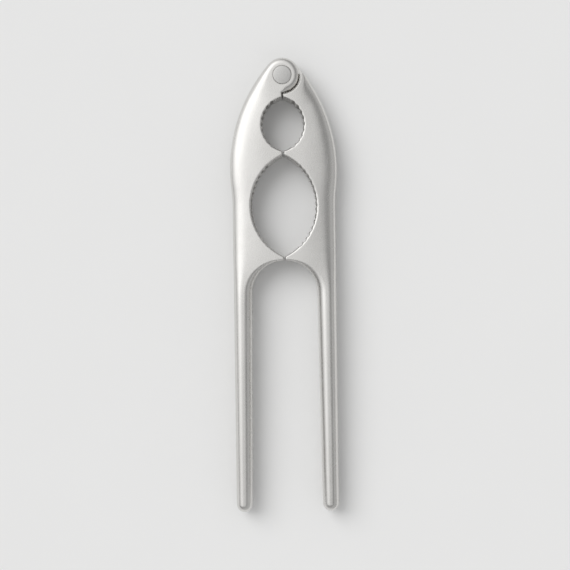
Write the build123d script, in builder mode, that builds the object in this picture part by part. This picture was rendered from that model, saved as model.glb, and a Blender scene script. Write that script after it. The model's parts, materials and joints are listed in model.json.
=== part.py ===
from build123d import *
import math
import os

# Lobster cracker: two cast arms joined by one rivet at the tip of the head.
#
# The tool lies flat. +Z is up through its thickness, +Y points along the legs to the hinge, and the
# origin is the middle of the closed tool's footprint. The fork arm, on the left, ends in two ears, and
# the tongue arm's tongue turns between them. All sizes are millimetres and degrees.

# ---- overall sizes ---------------------------------------------------------------------------
overall_length = 150.0  # hinge tip to leg ends
body_thickness = 10.0  # through the head
head_half_width = 17.7  # widest point of the head, to each side of the centreline
widest_from_tip = 37.0  # distance of that point from the hinge tip
waist_step = 0.7  # how much each side draws in from the head to the leg
arm_gap = 0.3  # between the two arms where their lips meet

# ---- jaws: two lens-shaped openings, one below the other ---------------------------------------
small_jaw_half_width = 6.6
small_jaw_half_length = 8.9
large_jaw_half_width = 10.3
large_jaw_half_length = 16.7
shoulder_wall = 1.1  # between the hinge's shoulder and the small jaw, on the centreline
jaw_bridge = 1.3  # between the two jaws
lip_length = 1.2  # between the large jaw and the arch, where the two lower lips meet
tooth_pitch = 2.0
groove_radius = 0.9
groove_depth = 0.55
toothed_share = 0.72  # share of each jaw's arc that carries grooves

# ---- legs ----------------------------------------------------------------------------------------
leg_width_top = 6.2
leg_width_end = 5.4
leg_thickness_end = 8.0
leg_edge_round = 2.3
leg_blend_length = 14.0  # over which the head's edges turn into the leg's rounder ones
leg_end_round = 2.4

# ---- hinge ---------------------------------------------------------------------------------------
knuckle_radius = 5.9  # the fork's ears, and so the tip of the head
tongue_radius = 4.3
tongue_thickness = 3.6
side_clearance = 0.1  # each side of the tongue, in the slot
turning_clearance = 0.3  # between the ears and the other arm's shoulder
root_clearance = 0.25  # between the tongue and the root of the slot
rivet_radius = 2.0
running_clearance = 0.06  # radial, rivet in tongue
rivet_head_radius = 3.3  # where its cone would meet the ear's face
countersink_angle = 90.0
rivet_crown = 0.15  # how far the middle of a rivet head stands above its rim
shoulder_angle = 5.0  # where the right arm's shoulder ends, above the hinge's own level
opening_angle = 90.0  # the tongue's flank then meets the end of the slot
stop_clearance_angle = 3.0

# ---- edges ---------------------------------------------------------------------------------------
outer_edge_round = 2.0
inner_edge_round = 0.4
cutter_margin = 1.5  # how far the hinge's cutters run past the flank
tiny = 0.01  # tolerance for finding edges

# ---- places worked out from the sizes ------------------------------------------------------------
half_gap = arm_gap / 2
tip_y = overall_length / 2
end_y = -overall_length / 2
pivot_y = tip_y - knuckle_radius
widest_y = tip_y - widest_from_tip
leg_outer = head_half_width - waist_step
leg_inner_top = leg_outer - leg_width_top

# The flank is the arc that is upright at the widest point and tangent to the knuckle.
knuckle_drop = widest_from_tip - knuckle_radius
flank_radius = (head_half_width**2 + knuckle_drop**2 - knuckle_radius**2) / (
    2 * (head_half_width - knuckle_radius)
)
flank_centre = (head_half_width - flank_radius, widest_y)
flank_angle = math.degrees(math.atan2(knuckle_drop, -flank_centre[0]))

# Below it two equal and opposite arcs draw the side in to the leg.
waist_angle = math.degrees(math.acos(1 - waist_step / (2 * flank_radius)))
waist_y = widest_y - 2 * flank_radius * math.sin(math.radians(waist_angle))
waist_centre = (leg_outer + flank_radius, waist_y)


def lens_radius(half_width, half_length):
    """Radius of the two equal arcs that enclose a lens of this size."""
    return (half_length**2 + half_width**2) / (2 * half_width)


shoulder_radius = knuckle_radius + turning_clearance
small_jaw_y = pivot_y - shoulder_radius - shoulder_wall - small_jaw_half_length
large_jaw_y = small_jaw_y - small_jaw_half_length - jaw_bridge - large_jaw_half_length
small_jaw_radius = lens_radius(small_jaw_half_width, small_jaw_half_length)
small_jaw_centre = (small_jaw_half_width - small_jaw_radius, small_jaw_y)
large_jaw_radius = lens_radius(large_jaw_half_width, large_jaw_half_length)
large_jaw_centre = (large_jaw_half_width - large_jaw_radius, large_jaw_y)
arch_radius = leg_inner_top
arch_y = large_jaw_y - large_jaw_half_length - lip_length - arch_radius

slot_thickness = tongue_thickness + 2 * side_clearance
slot_bottom = (body_thickness - slot_thickness) / 2  # also the thickness of each ear
tongue_bottom = (body_thickness - tongue_thickness) / 2
slot_radius = tongue_radius + root_clearance
stop_angle = flank_angle + opening_angle + stop_clearance_angle
hinge_reach = flank_centre[0] + math.sqrt(flank_radius**2 - knuckle_drop**2) + cutter_margin
cone_slope = math.tan(math.radians(countersink_angle / 2))
countersink_depth = (rivet_head_radius - rivet_radius) / cone_slope
rim_radius = rivet_head_radius - rivet_crown * cone_slope
crown_radius = (rim_radius**2 + rivet_crown**2) / (2 * rivet_crown)


def around_hinge(radius, angle):
    """Point in plan at a radius and angle from the rivet's axis."""
    turn = math.radians(angle)
    return (radius * math.cos(turn), pivot_y + radius * math.sin(turn))


def wedge(start, end, steps=6):
    """Corners of a wedge around the hinge between two angles, out to the cutters' reach."""
    angles = [start + (end - start) * i / steps for i in range(steps + 1)]
    return [(0, pivot_y)] + [around_hinge(hinge_reach, angle) for angle in angles]


def head_plan(knuckle_end):
    """Plan of a head on the right, from the arch up to where the knuckle's arc ends."""
    with BuildSketch() as plan:
        with BuildLine():
            Line((half_gap, arch_y), (leg_outer, arch_y))
            Line((leg_outer, arch_y), (leg_outer, waist_y))
            CenterArc(waist_centre, flank_radius, 180, -waist_angle)
            CenterArc(flank_centre, flank_radius, -waist_angle, waist_angle + flank_angle)
            knuckle = CenterArc(
                (0, pivot_y), knuckle_radius, flank_angle, knuckle_end - flank_angle
            )
            Line(knuckle @ 1, (half_gap, arch_y))
        make_face()
        with Locations(small_jaw_centre):
            Circle(small_jaw_radius, mode=Mode.SUBTRACT)
        with Locations(large_jaw_centre):
            Circle(large_jaw_radius, mode=Mode.SUBTRACT)
        with Locations((0, arch_y)):
            Circle(arch_radius, mode=Mode.SUBTRACT)
    return plan.sketch


def in_a_face(edge):
    """True for an edge that lies in the head's top or bottom face."""
    box = edge.bounding_box()
    return box.size.Z < tiny and (box.max.Z < tiny or box.min.Z > body_thickness - tiny)


def on_outline(edge):
    """True for an edge of the knuckle, the flank, the waist or the outer side below it."""
    if edge.geom_type == GeomType.CIRCLE:
        return any(abs(edge.radius - r) < tiny for r in (flank_radius, knuckle_radius))
    return abs(edge.center().X - leg_outer) < tiny


def on_jaws(edge):
    """True for an edge of a jaw, a lip or the arch."""
    return not on_outline(edge) and arch_y + tiny < edge.center().Y < pivot_y - knuckle_radius


def leg_section(share, inner_round):
    """Cross-section of the leg at a share of the way down it, rounder on its inner edges."""
    width = leg_width_top + (leg_width_end - leg_width_top) * share
    thickness = body_thickness + (leg_thickness_end - body_thickness) * share
    outer_round = outer_edge_round if share == 0 else leg_edge_round
    across = Plane(
        origin=(leg_outer - width / 2, arch_y + (end_y - arch_y) * share, body_thickness / 2),
        x_dir=(1, 0, 0),
        z_dir=(0, -1, 0),
    )
    with BuildSketch(across) as section:
        Rectangle(width, thickness)
        fillet(section.vertices().group_by(Axis.X)[0], inner_round)
        fillet(section.vertices().group_by(Axis.X)[-1], outer_round)
    return section.sketch


def grooves(centre, radius, half_length):
    """Plan of the round-bottomed grooves that leave one jaw's teeth between them."""
    half_arc = math.degrees(math.asin(half_length / radius)) * toothed_share
    step = math.degrees(tooth_pitch / radius)
    turns = int(half_arc / step)
    with BuildSketch() as cuts:
        for turn in range(-turns, turns + 1):
            angle = math.radians(turn * step)
            reach = radius + groove_depth - groove_radius
            with Locations(
                (centre[0] + reach * math.cos(angle), centre[1] + reach * math.sin(angle))
            ):
                Circle(groove_radius)
    return cuts.sketch


def arm_blank(knuckle_end):
    """An arm on the right before its hinge is cut: head, teeth and leg."""
    with BuildPart() as head:
        add(head_plan(knuckle_end))
        extrude(amount=body_thickness)
        fillet(head.edges().filter_by(in_a_face).filter_by(on_outline), outer_edge_round)
        fillet(head.edges().filter_by(in_a_face).filter_by(on_jaws), inner_edge_round)
        add(grooves(small_jaw_centre, small_jaw_radius, small_jaw_half_length))
        add(grooves(large_jaw_centre, large_jaw_radius, large_jaw_half_length))
        extrude(amount=body_thickness, mode=Mode.SUBTRACT)
    with BuildPart() as leg:
        add(leg_section(0, inner_edge_round))
        add(leg_section(leg_blend_length / (arch_y - end_y), leg_edge_round))
        add(leg_section(1, leg_edge_round))
        loft(ruled=True)
        fillet(leg.faces().sort_by(Axis.Y)[0].edges(), leg_end_round)
    with BuildPart() as blank:
        add(head.part)
        add(leg.part)
    return blank.part


# The fork's ears are whole discs, so its knuckle runs round to the underside of the hinge. The tongue
# arm's knuckle stops at its inner side.
inner_side_angle = math.degrees(math.acos(half_gap / knuckle_radius))
fork_blank = arm_blank(360 - inner_side_angle)
tongue_blank = arm_blank(inner_side_angle)

# ---- fork arm: its ears carry the rivet on each side of the slot ---------------------------------
with BuildPart() as fork_arm:
    mirror(fork_blank, about=Plane.YZ)
    with BuildSketch(Plane.XY.offset(slot_bottom)):
        with Locations((0, pivot_y)):
            Circle(slot_radius)
        with Locations((-half_gap, pivot_y - hinge_reach)):
            Rectangle(hinge_reach, 2 * hinge_reach, align=(Align.MIN, Align.MIN))
        with BuildLine():
            Polyline(*wedge(90, stop_angle), close=True)
        make_face()
    extrude(amount=slot_thickness, mode=Mode.SUBTRACT)
    for face_z, facing in ((body_thickness, 1), (0, -1)):
        with Locations(Plane(origin=(0, pivot_y, face_z), z_dir=(0, 0, facing))):
            CounterSinkHole(
                rivet_radius,
                rivet_head_radius,
                depth=slot_bottom,
                counter_sink_angle=countersink_angle,
            )
fork_arm.part.label = "fork_arm"

# ---- tongue arm: its tongue turns on the rivet, inside the fork's slot -----------------------------
with BuildPart() as tongue_arm:
    add(tongue_blank)
    with BuildSketch():
        with Locations((0, pivot_y)):
            Circle(shoulder_radius)
        with BuildLine():
            Polyline(*wedge(shoulder_angle, 180), close=True)
        make_face()
    extrude(amount=body_thickness, mode=Mode.SUBTRACT)
    with BuildSketch(Plane.XY.offset(tongue_bottom)):
        add(head_plan(inner_side_angle))
        with BuildLine():
            Polyline(*wedge(-90, flank_angle), close=True)
        make_face(mode=Mode.INTERSECT)
        with Locations((0, pivot_y)):
            Circle(tongue_radius)
            Circle(rivet_radius + running_clearance, mode=Mode.SUBTRACT)
    extrude(amount=tongue_thickness)
tongue_arm.part.label = "tongue_arm"

# ---- rivet: a shank with a countersunk, slightly domed head at each end ----------------------------
with BuildPart() as pivot_rivet:
    with BuildSketch(Plane.XZ.offset(-pivot_y)):
        with BuildLine():
            RadiusArc((0, 0), (rim_radius, rivet_crown), -crown_radius)
            Line((rim_radius, rivet_crown), (rivet_radius, countersink_depth))
            Line((rivet_radius, countersink_depth), (rivet_radius, body_thickness / 2))
            Line((rivet_radius, body_thickness / 2), (0, body_thickness / 2))
            Line((0, body_thickness / 2), (0, 0))
        make_face()
    revolve(axis=Axis((0, pivot_y, 0), (0, 0, 1)))
    mirror(about=Plane.XY.offset(body_thickness / 2))
pivot_rivet.part.label = "pivot_rivet"

os.makedirs("parts", exist_ok=True)
export_step(fork_arm.part, "parts/fork_arm.step")
export_step(tongue_arm.part, "parts/tongue_arm.step")
export_step(pivot_rivet.part, "parts/pivot_rivet.step")
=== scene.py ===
import json
import math

import bmesh
import bpy
import numpy as np
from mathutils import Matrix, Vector


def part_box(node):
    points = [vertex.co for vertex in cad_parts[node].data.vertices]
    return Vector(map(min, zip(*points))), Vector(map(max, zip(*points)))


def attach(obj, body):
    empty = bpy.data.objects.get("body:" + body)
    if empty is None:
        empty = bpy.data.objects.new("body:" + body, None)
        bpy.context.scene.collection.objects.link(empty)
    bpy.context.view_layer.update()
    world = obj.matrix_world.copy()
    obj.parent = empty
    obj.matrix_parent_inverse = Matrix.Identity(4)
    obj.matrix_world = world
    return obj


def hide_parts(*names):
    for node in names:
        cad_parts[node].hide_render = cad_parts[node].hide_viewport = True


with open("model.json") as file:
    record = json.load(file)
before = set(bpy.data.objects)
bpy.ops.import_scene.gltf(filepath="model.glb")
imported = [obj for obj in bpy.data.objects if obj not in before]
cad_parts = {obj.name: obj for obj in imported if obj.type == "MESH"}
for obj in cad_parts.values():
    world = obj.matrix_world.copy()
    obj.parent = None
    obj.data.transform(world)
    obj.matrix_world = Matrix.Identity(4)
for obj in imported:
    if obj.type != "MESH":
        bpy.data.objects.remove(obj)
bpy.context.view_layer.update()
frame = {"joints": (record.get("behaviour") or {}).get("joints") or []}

mm = 0.001

# places read from the frame, in millimetres
forkLow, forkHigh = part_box("fork_arm")
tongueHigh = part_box("tongue_arm")[1]
pivotY = frame["joints"][0]["pos_m"][1] / mm
tipY = forkHigh.y / mm
endY = forkLow.y / mm
headHalf = tongueHigh.x / mm                      # widest half of the head
middleZ = (forkLow.z + forkHigh.z) / 2 / mm
halfThick = (forkHigh.z - forkLow.z) / 2 / mm
knuckle = tipY - pivotY                           # radius of the fork's ears

# what a user would change on the two arms: plan sizes, in millimetres
arm = {
    "gap": 0.3,                                   # between the arms on the centreline
    "widestFromTip": 37.0, "waistStep": 0.7,
    "smallJaw": (6.6, 8.9), "largeJaw": (10.3, 16.7),      # half width, half length
    "shoulderWall": 1.1, "bridge": 1.3, "lip": 1.2,
    "legTop": 6.2, "legEnd": 5.4, "legEndHalfThick": 4.0, "thinningPower": 1.25,
    "toothPitch": 2.0, "toothDepth": 0.55, "toothedShare": 0.72,
    "grooveRadius": 0.9, "crestSoftening": 0.06,
    "turningGap": 0.3, "hookAngle": 5.0,
    "partingRidge": 0.04, "draft": 0.006,
    "crown": 0.9, "crownWidth": 12.0,             # how far the head's faces fall away to its flank
    "crownOffLeg": (-6.0, 30.0), "crownOffRivet": (4.5, 9.0),     # where it fades out, over how far
}

# the head's curves that follow from those sizes
halfGap = arm["gap"] / 2
legOuter = headHalf - arm["waistStep"]
widestY = tipY - arm["widestFromTip"]
drop = pivotY - widestY
flankR = (headHalf**2 + drop**2 - knuckle**2) / (2 * (headHalf - knuckle))
flankX = headHalf - flankR
flankAngle = math.degrees(math.atan2(drop, -flankX))      # where the flank meets the knuckle
waistTurn = math.acos(1 - arm["waistStep"] / (2 * flankR))
waistTopY = widestY - flankR * math.sin(waistTurn)
waistY = widestY - 2 * flankR * math.sin(waistTurn)
shoulderR = knuckle + arm["turningGap"]


def lens(size, middleY):
    # A lens of two equal arcs through its ends: radius, centre and half angle of the right one. The
    # radius is half the sum of length squared over width and width, both being half sizes.
    half, length = size
    radius = (length**2 + half**2) / (2 * half)
    centre = (half - radius, middleY)
    reach = math.degrees(math.asin(length / radius))
    return radius, centre, reach


smallY = pivotY - shoulderR - arm["shoulderWall"] - arm["smallJaw"][1]
largeY = smallY - arm["smallJaw"][1] - arm["bridge"] - arm["largeJaw"][1]
smallLens = lens(arm["smallJaw"], smallY)
largeLens = lens(arm["largeJaw"], largeY)
archR = legOuter - arm["legTop"]
archY = largeY - arm["largeJaw"][1] - arm["lip"] - archR
print("frame read, jaws centred at", round(smallY, 2), "and", round(largeY, 2), "mm")


def flankAt(y):
    # outer side at a height: the straight leg, then a circle's hollow side, then the same circle's
    # bulging side, each by Pythagoras from its centre
    hollow = legOuter + flankR - np.sqrt(np.maximum(flankR**2 - (y - waistY) ** 2, 0))
    bulge = flankX + np.sqrt(np.maximum(flankR**2 - (y - widestY) ** 2, 0))
    return np.where(y < waistY, legOuter, np.where(y < waistTopY, hollow, bulge))


def halfThicknessAt(y):
    # full half thickness over the head, then down the legs less by a power of the share of the way
    share = np.clip((archY - y) / (archY - endY), 0, 1)
    return halfThick + (arm["legEndHalfThick"] - halfThick) * share ** arm["thinningPower"]


def crownAt(x, y):
    # how far the head's faces fall away: the square of the nearness to the flank, times two smooth
    # steps that fade it out down the legs and round the rivet
    legStart, legLength = arm["crownOffLeg"]
    rivetStart, rivetLength = arm["crownOffRivet"]
    near = np.clip(1 - (flankAt(y) - x) / arm["crownWidth"], 0, 1) ** 2
    alongHead = ease(np.clip((y - archY - legStart) / legLength, 0, 1))
    offRivet = ease(np.clip((np.hypot(x, y - pivotY) - rivetStart) / rivetLength, 0, 1))
    return arm["crown"] * near * alongHead * offRivet


# One side of an arm is a chain of stretches. A path takes shares from 0 to 1 and gives their points.
def line(a, b):
    # the start plus the share of the way to the end
    return lambda f: np.array(a) + np.outer(f, np.array(b) - np.array(a))


def arc(centre, radius, start, end):
    # the centre plus the radius times cosine and sine of an angle between start and end
    def along(f):
        turn = np.radians(start + (end - start) * f)
        return np.stack([centre[0] + radius * np.cos(turn), centre[1] + radius * np.sin(turn)], 1)
    return along


def flank(low, high):
    # even steps in height, each as far out as the flank is there
    def along(f):
        y = low + (high - low) * f
        return np.stack([flankAt(y), y], 1)
    return along


def ease(f):
    # smooth step: three times the square less twice the cube
    return f * f * (3 - 2 * f)


def side(stretches, hand):
    # Stations along the chain. Each carries an offset vector that moves one unit into the metal for
    # one unit of inset: the normal, plus a slide along the edge that grows to the mitre at a corner.
    step, mitreReach = 1e-4, 3.0
    starts, ends, parts = [], [], []
    for s in stretches:
        f = np.arange(s["n"]) / s["n"]
        p = s["path"](f)
        t = s["path"](f + step) - s["path"](f - step)
        t /= np.linalg.norm(t, axis=1)[:, None]
        edge = s["path"](np.array([0, step, 1 - step, 1.0]))
        t0, t1 = edge[1] - edge[0], edge[3] - edge[2]
        fine = s["path"](np.linspace(0, 1, 60))
        length = np.linalg.norm(np.diff(fine, axis=0), axis=1).sum()
        starts.append(t0 / np.linalg.norm(t0))
        ends.append(t1 / np.linalg.norm(t1))
        parts.append((f, p, t, length, s))
    inward = lambda t: np.stack([hand * t[..., 1], -hand * t[..., 0]], -1)
    slideStart, slideEnd = [0.0] * len(parts), [0.0] * len(parts)
    for i in range(1, len(parts)):
        n0, n1 = inward(ends[i - 1]), inward(starts[i])
        mitre = (n0 + n1) / (1 + n0 @ n1)
        slideEnd[i - 1] = (mitre - n0) @ ends[i - 1]
        slideStart[i] = (mitre - n1) @ starts[i]
    out = {"p": [], "m": [], "width": [], "rise": [], "power": [], "tooth": [], "ridge": []}
    for i, (f, p, t, length, s) in enumerate(parts):
        reach = min(length, mitreReach)
        slide = slideStart[i] * np.clip(1 - f * length / reach, 0, 1)
        slide = slide + slideEnd[i] * np.clip(1 - (1 - f) * length / reach, 0, 1)
        bulge = np.sin(math.pi * f) * s.get("bulge", 0.0)
        out["p"].append(p)
        out["m"].append(inward(t) + t * slide[:, None])
        for name in ("width", "rise", "power", "ridge"):
            a, b = s[name]
            out[name].append(a + (b - a) * ease(f) + (bulge if name in ("width", "rise") else 0))
        out["tooth"].append(teeth(f, length, s["lens"]) if "lens" in s else np.zeros(len(f)))
    return {name: np.concatenate(rows) for name, rows in out.items()}


def teeth(f, length, jaw):
    # Round-bottomed grooves: how deep a circle round the nearest groove's middle reaches below the
    # jaw's arc. The crest is softened as half of the depth plus the root of its square and a small
    # square.
    radius, _, reach = jaw
    pitch, soft = arm["toothPitch"], arm["crestSoftening"]
    turns = int(reach * arm["toothedShare"] / math.degrees(pitch / radius))
    along = (f - 0.5) * length
    nearest = np.clip(np.round(along / pitch), -turns, turns) * pitch
    away = along - nearest
    sunk = arm["grooveRadius"] - arm["toothDepth"]
    depth = np.sqrt(np.maximum(arm["grooveRadius"] ** 2 - away**2, 0)) - sunk
    return 0.5 * (depth + np.sqrt(depth**2 + soft**2)) - 0.5 * (np.sqrt(sunk**2 + soft**2) - sunk)


# rounding where two stretches of an outline meet: how far it reaches inwards, how far down, and the
# power of its superellipse
rounding = {
    "legEnd": (2.4, 3.2, 2.1), "legTop": (2.85, 3.3, 2.2), "lip": (0.5, 0.5, 2.0),
    "largeFoot": (0.55, 0.55, 2.0), "largeTop": (0.6, 0.6, 2.0),
    "smallFoot": (0.55, 0.55, 2.0), "smallTop": (0.4, 0.4, 2.0),
    "flankLow": (4.6, 3.0, 2.6), "flankLip": (4.7, 3.0, 2.6), "flankMid": (5.4, 3.0, 2.6),
    "flankHigh": (4.4, 2.8, 2.5), "flankTop": (4.3, 2.8, 2.5),
    "shoulder": (0.3, 0.3, 2.0), "hookIn": (0.3, 0.4, 2.0), "hookOut": (0.6, 1.4, 2.1),
    "hookEnd": (0.35, 0.6, 2.0),
    "nose": (0.5, 0.6, 2.0), "besideDisc": (3.8, 2.7, 2.4), "disc": (2.15, 2.2, 2.2),
}
# heights on the flank that face the corners of the inner side
flankStops = {
    "low": 9.5, "lip": 10.2, "mid": 43.2, "smallFoot": 44.2, "high": 64.0,
    "tongueTop": 64.5, "forkTop": 64.6, "besideDisc": 66.2,
}


def stretch(path, n, start, end, ridge=(0, 0), **more):
    # n stations along a path, with the rounding that eases from its start's to its end's
    width, rise, power = zip(rounding[start], rounding[end])
    return {"path": path, "n": n, "width": width, "rise": rise, "power": power,
            "ridge": ridge, **more}


endR = arm["legEnd"] / 2
endMiddle = (legOuter - endR, endY + endR)
legInnerEnd = legOuter - arm["legEnd"]
legInnerTop = legOuter - arm["legTop"]
full = (1, 1)                                     # the parting ridge's strength at both ends


def sharedInner():
    # from the leg's tip up its inner side, round the arch and through both jaws
    sR, sC, sA = smallLens
    lR, lC, lA = largeLens
    archEnd = 90 - math.degrees(math.asin(halfGap / archR))
    lipLow, lipHigh = archY + archR, largeY - arm["largeJaw"][1]
    bridgeLow, bridgeHigh = largeY + arm["largeJaw"][1], smallY - arm["smallJaw"][1]
    legFoot, legHead = (legInnerEnd, endMiddle[1]), (legInnerTop, archY)
    return [
        stretch(arc(endMiddle, endR, 270, 180), 14, "legEnd", "legEnd", ridge=full),
        stretch(line(legFoot, legHead), 70, "legEnd", "legTop", ridge=full),
        stretch(arc((0, archY), archR, 0, archEnd), 60, "legTop", "lip", ridge=(1, 0)),
        stretch(line((halfGap, lipLow), (halfGap, lipHigh)), 10, "lip", "largeFoot"),
        stretch(arc(lC, lR, -lA, lA), 300, "largeFoot", "largeTop", bulge=0.7, lens=largeLens),
        stretch(line((halfGap, bridgeLow), (halfGap, bridgeHigh)), 10, "largeTop", "smallFoot"),
        stretch(arc(sC, sR, -sA, sA), 180, "smallFoot", "smallTop", bulge=0.55, lens=smallLens),
    ]


def sharedOuter():
    # the matching stretches up the outer side, from the leg's tip to beside the small jaw's top
    at = flankStops
    return [
        stretch(arc(endMiddle, endR, 270, 360), 14, "legEnd", "legEnd", ridge=full),
        stretch(line((legOuter, endMiddle[1]), (legOuter, archY)), 70, "legEnd", "legTop", ridge=full),
        stretch(flank(archY, at["low"]), 60, "legTop", "flankLow", ridge=full),
        stretch(flank(at["low"], at["lip"]), 10, "flankLow", "flankLip", ridge=full),
        stretch(flank(at["lip"], at["mid"]), 300, "flankLip", "flankMid", ridge=full),
        stretch(flank(at["mid"], at["smallFoot"]), 10, "flankMid", "flankMid", ridge=full),
        stretch(flank(at["smallFoot"], at["high"]), 180, "flankMid", "flankHigh", ridge=full),
    ]


def tongueSides():
    # the tongue arm's shoulder follows the ear and ends in a short hook on the flank
    at = flankStops
    hook = math.radians(arm["hookAngle"])
    reach = flankX + math.sqrt(flankR**2 - drop**2)
    hookIn = (shoulderR * math.cos(hook), pivotY + shoulderR * math.sin(hook))
    hookY = pivotY + reach * math.sin(hook)
    hookOut = (float(flankAt(hookY)), hookY)
    hookMid = ((hookIn[0] + hookOut[0]) / 2, (hookIn[1] + hookOut[1]) / 2)
    low = -math.degrees(math.acos(halfGap / shoulderR))
    smallTopY = smallY + arm["smallJaw"][1]
    inner = sharedInner() + [
        stretch(line((halfGap, smallTopY), (halfGap, pivotY - shoulderR)), 10, "smallTop", "shoulder"),
        stretch(arc((0, pivotY), shoulderR, low, arm["hookAngle"]), 70, "shoulder", "hookIn"),
        stretch(line(hookIn, hookMid), 8, "hookIn", "hookEnd"),
    ]
    outer = sharedOuter() + [
        stretch(flank(at["high"], at["tongueTop"]), 10, "flankHigh", "flankTop", ridge=full),
        stretch(flank(at["tongueTop"], hookY), 70, "flankTop", "hookOut", ridge=(1, 0)),
        stretch(line(hookOut, hookMid), 8, "hookOut", "hookEnd"),
    ]
    return inner, outer


def forkSides():
    # the fork's head runs out into a whole disc, rounded on its rim
    at = flankStops
    topY = pivotY + knuckle * math.sin(math.radians(flankAngle))
    low = 270 + math.degrees(math.asin(halfGap / knuckle))
    noseTurn, leftTurn, topTurn = 245, 150, 96    # degrees round the disc
    middle = (0, pivotY)
    smallTopY = smallY + arm["smallJaw"][1]
    inner = sharedInner() + [
        stretch(line((halfGap, smallTopY), (halfGap, pivotY - knuckle)), 10, "smallTop", "nose"),
        stretch(arc(middle, knuckle, low, noseTurn), 20, "nose", "disc"),
        stretch(arc(middle, knuckle, noseTurn, leftTurn), 60, "disc", "disc"),
        stretch(arc(middle, knuckle, leftTurn, topTurn), 40, "disc", "disc"),
    ]
    outer = sharedOuter() + [
        stretch(flank(at["high"], at["forkTop"]), 10, "flankHigh", "flankTop", ridge=full),
        stretch(flank(at["forkTop"], at["besideDisc"]), 20, "flankTop", "besideDisc", ridge=(1, 0.6)),
        stretch(flank(at["besideDisc"], topY), 60, "besideDisc", "disc", ridge=(0.6, 0)),
        stretch(arc(middle, knuckle, flankAngle, topTurn), 40, "disc", "disc"),
    ]
    return inner, outer


def makePiece(name, points, *faceArrays):
    # points in millimetres, and one array of faces for each number of corners
    mesh = bpy.data.meshes.new(name)
    faces = [face for array in faceArrays for face in np.asarray(array).tolist()]
    mesh.from_pydata((np.asarray(points, float) * mm).tolist(), [], faces)
    mesh.validate()
    mesh.update()
    piece = bpy.data.objects.new(name, mesh)
    bpy.context.scene.collection.objects.link(piece)
    return piece


def facesFrom(*corners):
    # a face for each place in the arrays, with one corner's number from each array
    return np.stack([corner.ravel() for corner in corners], 1)


def armMesh(name, innerList, outerList, mirrored):
    # The rim is a profile carried along the closed outline: a drafted wall with a parting ridge, then
    # a superellipse quarter inwards and up to the face. Each face is ruled: a point on it is the
    # inner side's station plus a share of the way to the matching outer one.
    inner, outer = side(innerList, 1), side(outerList, -1)
    m = len(inner["p"])
    lastPoint = innerList[-1]["path"](np.array([1.0]))
    loop = {}
    for key in inner:
        tail = outer[key][::-1][:-1]
        top = lastPoint if key == "p" else (inner[key][-1:] + outer[key][-1:]) / 2
        loop[key] = np.concatenate([inner[key], top, tail])
    n = len(loop["p"])                            # 2 * m stations round the outline
    width, rise, power = loop["width"], loop["rise"], loop["power"]

    roundRows = 14
    theta = np.linspace(0, math.pi / 2, roundRows + 1)[1:]
    # wall rows from the parting line up: millimetres above it, share of the wall's height, and share
    # of the ridge
    wallRows = [(0.0, 0.0, 1.0), (0.07, 0.0, 0.8), (0.14, 0.0, 0.3),
                (0.22, 0.0, 0.0), (0.1, 0.5, 0.0), (0.0, 1.0, 0.0)]
    insets, heights = [], []
    for above, share, ridge in wallRows:
        drafted = arm["draft"] * share * (halfThick - rise)
        insets.append(arm["partingRidge"] * (1 - ridge * loop["ridge"]) + drafted)
        heights.append((np.full(n, above), np.full(n, share), np.zeros(n)))
    wallTop = insets[-1]
    for t in theta:                               # the quarter, from the wall's top to the face
        across = 1 - np.cos(t) ** (2 / power) if t < math.pi / 2 - 1e-9 else np.ones(n)
        insets.append(wallTop + (width - wallTop) * across)
        heights.append((np.zeros(n), np.ones(n), np.sin(t) ** (2 / power)))
    insets, heights = np.array(insets), np.array(heights)

    plan = loop["p"][None] + insets[:, :, None] * loop["m"][None]
    for _ in range(3):                            # small radii on the outline's corners
        plan = (np.roll(plan, 1, 1) + 2 * plan + np.roll(plan, -1, 1)) / 4
    fluted = (insets**4 + loop["tooth"][None] ** 4) ** 0.25 - insets
    plan = plan + fluted[:, :, None] * loop["m"][None]
    thick = halfThicknessAt(plan[:, :, 1])
    up = heights[:, 0] + heights[:, 1] * (thick - rise) + heights[:, 2] * rise

    top = np.concatenate([plan, up[:, :, None]], 2)
    low = top[1:][::-1].copy()
    low[:, :, 2] *= -1
    shell = np.concatenate([low, top])            # bottom face's rim row first, top face's last
    total = len(shell)
    index = np.arange(total * n).reshape(total, n)
    around = np.roll(index, -1, 1)
    rim = facesFrom(index[:-1], index[1:], around[1:], around[:-1])

    points, quads, fans = [shell.reshape(-1, 3)], [rim], []
    count = total * n
    steps = 7
    j = np.arange(1, m)
    for row, order in ((total - 1, 1), (0, -1)):
        a, b = shell[row, j], shell[row, n - j]
        share = (np.arange(1, steps) / steps)[None, :, None]
        fill = a[:, None] * (1 - share) + b[:, None] * share
        fill[:, :, 2] = np.sign(fill[:, :, 2]) * halfThicknessAt(fill[:, :, 1])
        ids = count + np.arange(len(j) * (steps - 1)).reshape(len(j), steps - 1)
        grid = np.concatenate([index[row, j][:, None], ids, index[row, n - j][:, None]], 1)
        points.append(fill.reshape(-1, 3))
        count += ids.size
        ruled = facesFrom(grid[:-1, :-1], grid[:-1, 1:], grid[1:, 1:], grid[1:, :-1])
        quads.append(ruled[:, ::order])
        foot, head = np.full(steps, index[row, 0]), np.full(steps, index[row, m])
        fans.append(facesFrom(foot, grid[0, 1:], grid[0, :-1])[:, ::order])
        fans.append(facesFrom(head, grid[-1, :-1], grid[-1, 1:])[:, ::order])
    points = np.concatenate(points)
    points[:, 2] *= 1 - crownAt(points[:, 0], points[:, 1]) / halfThick
    points[:, 2] += middleZ
    quads, fans = np.concatenate(quads), np.concatenate(fans)
    if mirrored:
        points[:, 0] *= -1
        quads, fans = quads[:, ::-1], fans[:, ::-1]
    return makePiece(name, points, quads, fans)


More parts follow.
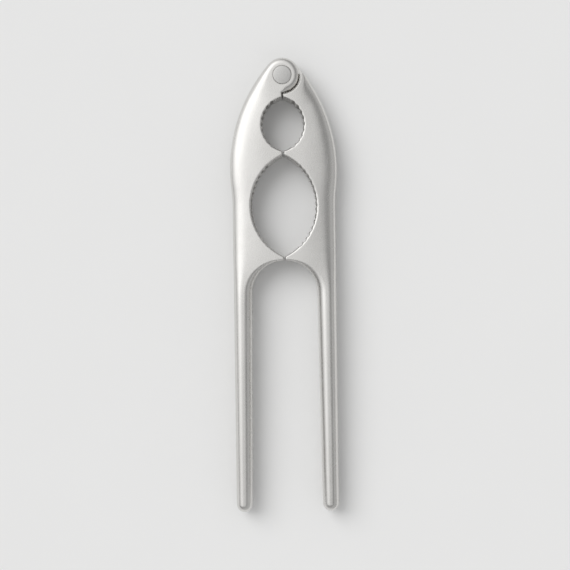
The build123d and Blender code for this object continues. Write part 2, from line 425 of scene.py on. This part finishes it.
def revolve(name, profile, turns=96):
    # a profile of (radius, height) from pole to pole, turned about the hinge axis: each point goes to
    # radius times cosine and sine of the turn
    profile = np.asarray(profile, float)
    body = profile[1:-1]
    turn = np.linspace(0, 2 * math.pi, turns, endpoint=False)
    x = body[:, :1] * np.cos(turn)
    y = pivotY + body[:, :1] * np.sin(turn)
    z = np.repeat(body[:, 1:], turns, 1) + middleZ
    points = np.stack([x, y, z], 2).reshape(-1, 3)
    poles = [[0, pivotY, profile[0, 1] + middleZ], [0, pivotY, profile[-1, 1] + middleZ]]
    index = np.arange(len(body) * turns).reshape(len(body), turns)
    around = np.roll(index, -1, 1)
    sides = facesFrom(index[:-1], around[:-1], around[1:], index[1:])
    low, high = np.full(turns, len(points)), np.full(turns, len(points) + 1)
    ends = [facesFrom(low, around[0], index[0]), facesFrom(high, index[-1], around[-1])]
    return makePiece(name, np.concatenate([points, poles]), sides, np.concatenate(ends))


def sector(name, profile, start, end, steps=80):
    # a closed profile of (radius, height) carried part of the way round the hinge axis in the same
    # manner, with flat ends
    profile = np.asarray(profile, float)
    turn = np.radians(np.linspace(start, end, steps))
    x = np.cos(turn)[:, None] * profile[:, 0]
    y = pivotY + np.sin(turn)[:, None] * profile[:, 0]
    z = np.repeat(profile[None, :, 1], steps, 0) + middleZ
    points = np.stack([x, y, z], 2).reshape(-1, 3)
    index = np.arange(steps * len(profile)).reshape(steps, -1)
    around = np.roll(index, -1, 1)
    sides = facesFrom(index[:-1], index[1:], around[1:], around[:-1])
    return makePiece(name, points, sides, [index[0], index[-1][::-1]])


def plate(name, outline, half, bevel):
    # a flat plate with chamfered edges: the outline at two heights, and at the faces the same outline
    # moved inwards along its normals by the chamfer
    outline = np.asarray(outline, float)
    ahead, behind = np.roll(outline, -1, 0), np.roll(outline, 1, 0)
    t = ahead - behind
    t /= np.linalg.norm(t, axis=1)[:, None]
    inset = outline + bevel * np.stack([-t[:, 1], t[:, 0]], 1)
    rings = [(inset, -half), (outline, bevel - half), (outline, half - bevel), (inset, half)]
    points = np.concatenate([np.column_stack([r, np.full(len(r), z + middleZ)]) for r, z in rings])
    index = np.arange(4 * len(outline)).reshape(4, -1)
    around = np.roll(index, -1, 1)
    sides = facesFrom(index[:-1], around[:-1], around[1:], index[1:])
    return makePiece(name, points, sides, [index[0][::-1], index[-1]])


def combine(piece, other, operation):
    # one exact cut or join, applied at once; the tool is then removed
    cut = piece.modifiers.new("cut", "BOOLEAN")
    cut.solver = "MANIFOLD"
    cut.operation = operation
    cut.object = other
    graph = bpy.context.evaluated_depsgraph_get()
    before = len(piece.data.polygons)
    mesh = bpy.data.meshes.new_from_object(piece.evaluated_get(graph))
    piece.modifiers.clear()
    old, piece.data = piece.data, mesh
    bpy.data.meshes.remove(old)
    bpy.data.objects.remove(other)
    print("   ", operation.lower(), piece.name, before, "->", len(mesh.polygons), "faces")


def finishMesh(piece, angle=34, weld=0.001):
    # points nearer than a micrometre made one, then smooth shading that breaks at sharp edges
    mesh = piece.data
    shape = bmesh.new()
    shape.from_mesh(mesh)
    bmesh.ops.remove_doubles(shape, verts=shape.verts, dist=weld * mm)
    bmesh.ops.dissolve_degenerate(shape, edges=shape.edges, dist=weld * mm)
    shape.to_mesh(mesh)
    shape.free()
    mesh.shade_smooth()
    mesh.set_sharp_from_angle(angle=math.radians(angle))
    mesh.update()


# the hinge's sizes in both arms, and the angle where the fork's slot ends
hinge = {
    "slotHalf": 1.9, "slotRoot": 4.55, "slotEnd": 134.5, "slotInside": 2.5, "slotPast": 1.2,
    "edgeBreak": 0.22, "earBore": 2.0, "sinkTop": 3.2,
    "tongueHalf": 1.8, "tongueRadius": 4.3, "tongueBreak": 0.2, "tongueBore": 2.06, "boreBreak": 0.5,
    "boreLead": 0.15, "tongueRootX": 9.5,
}
forkArm = armMesh("forkArm", *forkSides(), mirrored=True)
slot, mouth = hinge["slotHalf"], knuckle - hinge["edgeBreak"]
out = knuckle + hinge["slotPast"]
flare = slot + (out - mouth)
inside = hinge["slotInside"]
slotDisc = [(0, -slot), (hinge["slotRoot"], -slot), (hinge["slotRoot"], slot), (0, slot)]
slotRim = [(inside, -slot), (mouth, -slot), (out, -flare),
           (out, flare), (mouth, slot), (inside, slot)]
slotStart = -90 - math.degrees(math.asin(halfGap / knuckle))
combine(forkArm, revolve("slotRoot", slotDisc), "DIFFERENCE")
combine(forkArm, sector("slotMouth", slotRim, slotStart, hinge["slotEnd"]), "DIFFERENCE")

# the rivet's hole, sunk at 45 degrees on both faces and drawn 1 mm past them
bore, sink, over = hinge["earBore"], hinge["sinkTop"], 1.0
sinkZ, past = halfThick - (sink - bore), halfThick + over
cone = sink + over
holeSide = [(0, -past), (cone, -past), (bore, -sinkZ), (bore, sinkZ), (cone, past), (0, past)]
combine(forkArm, revolve("rivetHole", holeSide), "DIFFERENCE")
finishMesh(forkArm)
print("fork arm", len(forkArm.data.polygons), "faces")

tongueArm = armMesh("tongueArm", *tongueSides(), mirrored=False)


def tongueOutline():
    # a circle round the rivet, then down into the head, and back up inside the flank to where it
    # meets the knuckle
    inside, lastTurn = 0.1, math.pi * 1.45        # how far it hides in the head, and from what angle
    arcStart, arcEnd = math.radians(flankAngle), math.radians(270) + inside
    turn = np.linspace(arcStart, arcEnd, 60)
    radius = hinge["tongueRadius"]
    roundRivet = np.stack([radius * np.cos(turn), pivotY + radius * np.sin(turn)], 1)
    left = halfGap + inside
    held = np.minimum(roundRivet[:, 0], left)
    roundRivet[:, 0] = np.where(turn > lastTurn, held, roundRivet[:, 0])
    rootY = pivotY - shoulderR - 0.5 * arm["shoulderWall"]
    topY = pivotY + knuckle * math.sin(math.radians(flankAngle))
    y = np.linspace(pivotY - 0.5, topY, 24)
    upFlank = np.stack([flankAt(y) - inside, y], 1)
    return np.concatenate([roundRivet, [(left, rootY), (hinge["tongueRootX"], rootY)], upFlank])


tongue = plate("tonguePlate", tongueOutline(), hinge["tongueHalf"], hinge["tongueBreak"])
combine(tongueArm, tongue, "UNION")
clear = hinge["tongueHalf"] + hinge["boreBreak"]
bore, wide = hinge["tongueBore"], hinge["tongueBore"] + hinge["boreBreak"] + hinge["boreLead"]
leadZ = clear - hinge["boreBreak"] - hinge["boreLead"]
boreSide = [(0, -clear), (wide, -clear), (bore, -leadZ), (bore, leadZ), (wide, clear), (0, clear)]
combine(tongueArm, revolve("tongueBore", boreSide), "DIFFERENCE")
finishMesh(tongueArm)
print("tongue arm", len(tongueArm.data.polygons), "faces")


# the rivet's radii, how far its dome falls to the rim, and the rim's rounding
rivet = {"shank": 1.98, "rim": 2.98, "crown": 0.12, "edge": 0.08}


def rivetProfile():
    # One end, then its mirror image: a dome that falls with the square of the radius, a quarter round
    # at the rim, a cone at 45 degrees and the straight shank.
    rim, edge = rivet["rim"], rivet["edge"]
    r = np.linspace(0, rim - edge, 14)
    dome = halfThick - rivet["crown"] * (r / rim) ** 2
    fall = np.linspace(0.35, 1.0, 5) * math.pi / 2
    rimRow = np.stack([rim - edge + edge * np.sin(fall), dome[-1] - edge + edge * np.cos(fall)], 1)
    cone = [(rivet["shank"], rimRow[-1, 1] - (rim - rivet["shank"]))]
    half = np.concatenate([np.stack([r, dome], 1), rimRow, cone])
    low = half * np.array([1, -1])
    return np.concatenate([low, half[::-1]])


pivotRivet = revolve("pivotRivet", rivetProfile(), 128)
finishMesh(pivotRivet, 50)
print("rivet", len(pivotRivet.data.polygons), "faces")


class Wire:
    # a socket in a material's tree; arithmetic on it adds Math nodes
    def __init__(self, tree, socket):
        self.tree, self.socket = tree, socket

    def _math(self, operation, a, b=None, clamp=False):
        return node(self.tree, "ShaderNodeMath", {"operation": operation, "use_clamp": clamp},
                    {0: a, 1: b} if b is not None else {0: a})

    def __add__(self, b): return self._math("ADD", self, b)
    def __radd__(self, b): return self._math("ADD", b, self)
    def __sub__(self, b): return self._math("SUBTRACT", self, b)
    def __rsub__(self, b): return self._math("SUBTRACT", b, self)
    def __mul__(self, b): return self._math("MULTIPLY", self, b)
    def __rmul__(self, b): return self._math("MULTIPLY", b, self)
    def clamp(self): return self._math("ADD", self, 0.0, clamp=True)


def node(tree, kind, settings=None, values=None, output=0):
    # settings first, then the values or links of its sockets
    made = tree.nodes.new(kind)
    for key, value in (settings or {}).items():
        if key == "stops":
            ramp = made.color_ramp
            while len(ramp.elements) < len(value):
                ramp.elements.new(0.5)
            for element, (place, tone) in zip(ramp.elements, value):
                element.position, element.color = place, (tone, tone, tone, 1)
        else:
            setattr(made, key, value)
    for key, value in (values or {}).items():
        if isinstance(value, Wire):
            tree.links.new(value.socket, made.inputs[key])
        else:
            made.inputs[key].default_value = value
    return Wire(tree, made.outputs[output])


def newMaterial(name):
    material = bpy.data.materials.new(name)
    material.use_nodes = True
    tree = material.node_tree
    shader = tree.nodes["Principled BSDF"]
    return material, tree, shader


def noise(tree, place, scale, detail=3.0, rough=0.5, stretchBy=None):
    # fractal noise, drawn out along the axes where stretchBy is given
    if stretchBy is not None:
        place = node(tree, "ShaderNodeMapping", {}, {"Vector": place, "Scale": stretchBy})
    values = {"Vector": place, "Scale": scale, "Detail": detail, "Roughness": rough}
    return node(tree, "ShaderNodeTexNoise", {}, values)


def scratches(tree, place, degrees, sparse):
    # thin marks lying one way: noise drawn out along a turned axis, only its highest crests kept
    turn = (0, 0, math.radians(degrees))
    turned = node(tree, "ShaderNodeMapping", {}, {"Vector": place, "Rotation": turn})
    drawn = noise(tree, turned, 160.0, 2.0, 0.5, (14.0, 0.7, 1.0))
    return ((drawn - sparse) * 9.0).clamp()


def mixed(tree, share, first, second):
    # a colour between two others
    a, b = [colour if isinstance(colour, Wire) else (*colour, 1) for colour in (first, second)]
    return node(tree, "ShaderNodeMix", {"data_type": "RGBA"}, {0: share, 6: a, 7: b}, output=2)


def finish(material, tree, shader, tone, rough, bump):
    # bare metal, with the parts that vary over its surface
    for name, wire in (("Base Color", tone), ("Roughness", rough), ("Normal", bump)):
        tree.links.new(wire.socket, shader.inputs[name])
    shader.inputs["Metallic"].default_value = 1.0
    return material


plating = {
    # the dark tone below is painted shade in the jaws' grooves and the hinge's slot, partly grime in
    # the grooves
    "tone": (0.82, 0.81, 0.79), "dull": (0.71, 0.70, 0.68), "shadeGrimeTone": (0.20, 0.19, 0.175),
    "roughness": 0.275, "cloudSize": 60.0, "waveSize": 130.0, "peelSize": 900.0, "scratchSize": 420.0,
    "marks": [(38, 0.66), (-52, 0.67), (8, 0.64)],           # each set's angle and how sparse it is
    "bumpStrength": 0.55, "bumpDepth": 0.00008,
}


def platedCasting():
    # satin plating over a casting: broad unevenness, fine peel, short scratches along the arms, and
    # painted
    #  shade, partly grime, in the jaws' grooves and the hinge's slot
    material, tree, shader = newMaterial("satinPlating")
    place = node(tree, "ShaderNodeTexCoord", output=3)
    wave = noise(tree, place, plating["waveSize"], 2.0)
    peel = noise(tree, place, plating["peelSize"], 3.0)
    brushed = noise(tree, place, plating["scratchSize"], 4.0, 0.65, (9.0, 0.5, 5.0))
    first, second, third = [scratches(tree, place, *each) for each in plating["marks"]]
    marks = first + second + third
    cloud = noise(tree, place, plating["cloudSize"], 4.0, 0.6)
    soil = node(tree, "ShaderNodeAttribute", {"attribute_name": "soil"}, output=2)
    rub = node(tree, "ShaderNodeAttribute", {"attribute_name": "rub"}, output=2)
    base = mixed(tree, (cloud - 0.35) * 1.2, plating["dull"], plating["tone"])
    # painted shade: the grooves and the slot are darkened towards the dark tone, partly as grime
    base = mixed(tree, (soil * 0.75).clamp(), base, plating["shadeGrimeTone"])
    rough = plating["roughness"] + (cloud - 0.5) * 0.12 + (brushed - 0.5) * 0.12 + marks * 0.09
    rough = (rough + soil * 0.25 - rub * 0.07).clamp()
    height = wave + peel * 0.12 + brushed * 0.05 - marks * 0.03
    bump = node(tree, "ShaderNodeBump", {}, {"Strength": plating["bumpStrength"],
                                             "Distance": plating["bumpDepth"], "Height": height})
    return finish(material, tree, shader, base, rough, bump)


peened = {
    "dark": (0.50, 0.495, 0.485), "light": (0.66, 0.655, 0.64), "roughness": 0.30,
    "ringPitch": 0.00022, "grainSize": 2600.0, "bumpStrength": 0.5, "bumpDepth": 0.00002,
}


def turnedSteel():
    # the rivet: peened steel with faint rings, a sine of the distance from its axis
    material, tree, shader = newMaterial("peenedSteel")
    place = node(tree, "ShaderNodeTexCoord", output=3)
    flat = node(tree, "ShaderNodeMapping", {}, {"Vector": place, "Location": (0, -pivotY * mm, 0),
                                                "Scale": (1, 1, 0)})
    radius = node(tree, "ShaderNodeVectorMath", {"operation": "LENGTH"}, {0: flat}, output=1)
    turns = radius * (2 * math.pi / peened["ringPitch"])
    rings = node(tree, "ShaderNodeMath", {"operation": "SINE"}, {0: turns})
    fine = noise(tree, place, peened["grainSize"], 3.0)
    base = mixed(tree, fine, peened["dark"], peened["light"])
    rough = peened["roughness"] + rings * 0.015 + (fine - 0.5) * 0.14
    height = rings * 0.06 + fine
    bump = node(tree, "ShaderNodeBump", {}, {"Strength": peened["bumpStrength"],
                                             "Distance": peened["bumpDepth"], "Height": height})
    return finish(material, tree, shader, base, rough, bump)


def markShadeAndWear(piece, hand):
    # Painted shade, partly grime in the jaws, grows to the power 1.5 with the depth below a jaw's arc,
    # and evenly
    #  inwards in the hinge's slot, where it is painted shade only. Rub is the polish from handling: it
    #  grows evenly over the last 3 mm before the flank.
    count = len(piece.data.vertices)
    co = np.zeros(count * 3)
    piece.data.vertices.foreach_get("co", co)
    x, y, z = (co.reshape(-1, 3) / mm).T
    x = x * hand
    up = np.abs(z - middleZ)
    soil = np.zeros(count)
    for radius, centre, _ in (smallLens, largeLens):
        depth = np.hypot(x - centre[0], y - centre[1]) - radius
        inside = (depth > -0.1) & (depth < 0.62) & (np.abs(y - centre[1]) < radius)
        inside &= up < halfThick - 0.35
        soil = np.maximum(soil, np.where(inside, np.clip(depth / 0.5, 0, 1) ** 1.5, 0))
    fromPivot = np.hypot(x, y - pivotY)
    # painted shade inside the hinge's slot, where the arms overlap
    slotted = np.clip((knuckle - 0.4 - fromPivot) / 4, 0, 0.25) * (up < hinge["slotHalf"] + 0.3)
    soil = np.maximum(soil, slotted)
    rub = np.clip((np.abs(x) - flankAt(y) + 3.0) / 3.0, 0, 1) * (up > 1.5)
    for name, values in (("soil", soil), ("rub", rub)):
        attribute = piece.data.attributes.new(name, "FLOAT", "POINT")
        attribute.data.foreach_set("value", values.astype(np.float32))


satin, steel = platedCasting(), turnedSteel()
markShadeAndWear(forkArm, -1)
markShadeAndWear(tongueArm, 1)
for piece, material, body, nodeName, slotName in (
    (forkArm, satin, "fork_side", "fork_arm", "arms"),
    (tongueArm, satin, "tongue_side", "tongue_arm", "arms"),
    (pivotRivet, steel, "fork_side", "pivot_rivet", "rivet"),
):
    piece.data.materials.clear()
    piece.data.materials.append(material)
    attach(piece, body)
    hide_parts(nodeName)
print("materials done")

studio = {
    "floorTone": 0.82, "floorSize": 8.0,
    "keyPlace": (-0.95, 0.75, 1.35), "keySpread": 46.0, "keyPower": 1.55,
    # brightness by half of one plus the cosine of the angle from the key lamp
    "sky": [(0.0, 0.32), (0.35, 0.48), (0.52, 0.54), (0.65, 0.31), (0.75, 0.32), (0.87, 0.83),
            (0.93, 1.0), (0.965, 1.55)],
    "skyForFloor": 0.60, "backdrop": 0.90,
    "lens": 100.0, "distance": 0.53, "roll": 0.8,
}


def floorPiece():
    # one large pale sheet with a faint grain
    half = studio["floorSize"] / 2
    corners = np.array([(-half, -half, 0), (half, -half, 0), (half, half, 0), (-half, half, 0)]) / mm
    piece = makePiece("floor", corners, [[0, 1, 2, 3]])
    material, tree, shader = newMaterial("paleFloor")
    tone = studio["floorTone"]
    place = node(tree, "ShaderNodeTexCoord", output=3)
    grain = noise(tree, place, 40.0, 3.0)
    shade = mixed(tree, grain, (tone * 0.985, tone * 0.985, tone * 0.98), (tone, tone, tone * 0.995))
    tree.links.new(shade.socket, shader.inputs["Base Color"])
    shader.inputs["Roughness"].default_value = 0.6
    shader.inputs["Specular IOR Level"].default_value = 0.2
    piece.data.materials.append(material)
    return piece


def softSun(name, place, spread, strength):
    # light from one direction, as wide in the sky as a large soft box and even over the whole floor
    data = bpy.data.lights.new(name, "SUN")
    data.energy, data.angle = strength, math.radians(spread)
    lamp = bpy.data.objects.new(name, data)
    bpy.context.scene.collection.objects.link(lamp)
    lamp.location = place
    lamp.rotation_euler = Vector(place).to_track_quat("Z", "Y").to_euler()
    lamp.visible_glossy = False                   # metal mirrors the sky's bright patch instead
    return lamp


def makeWorld():
    # Metal mirrors a sky whose brightness follows the cosine of the angle from the key lamp. Other
    # rays meet one even tone, and the camera a plain pale backdrop.
    world = bpy.data.worlds.new("studio")
    bpy.context.scene.world = world
    world.use_nodes = True
    tree = world.node_tree
    towards = np.array(studio["keyPlace"]) / np.linalg.norm(studio["keyPlace"])
    ray = node(tree, "ShaderNodeTexCoord", output=0)
    dot = {"operation": "DOT_PRODUCT"}
    facing = node(tree, "ShaderNodeVectorMath", dot, {0: ray, 1: tuple(towards)}, output=1)
    sky = node(tree, "ShaderNodeValToRGB", {"stops": studio["sky"]}, {0: facing * 0.5 + 0.5})
    glossy = node(tree, "ShaderNodeLightPath", output=3)
    cameraRay = node(tree, "ShaderNodeLightPath", output=0)
    sky = sky * glossy + studio["skyForFloor"] * (1 - glossy)
    strength = sky * (1 - cameraRay) + studio["backdrop"] * cameraRay
    tree.links.new(strength.socket, tree.nodes["Background"].inputs["Strength"])
    tree.nodes["Background"].inputs["Color"].default_value = (1, 1, 1, 1)


floorPiece()
makeWorld()
softSun("keyLamp", studio["keyPlace"], studio["keySpread"], studio["keyPower"])

camera = bpy.data.objects.new("camera", bpy.data.cameras.new("camera"))
bpy.context.scene.collection.objects.link(camera)
camera.data.lens = studio["lens"]
camera.data.clip_start = 0.01
camera.location = (0, 0, studio["distance"])
camera.rotation_euler = (0, 0, -math.radians(studio["roll"]))
bpy.context.scene.camera = camera
bpy.context.scene.view_settings.view_transform = "Standard"
print("floor, light and camera done")
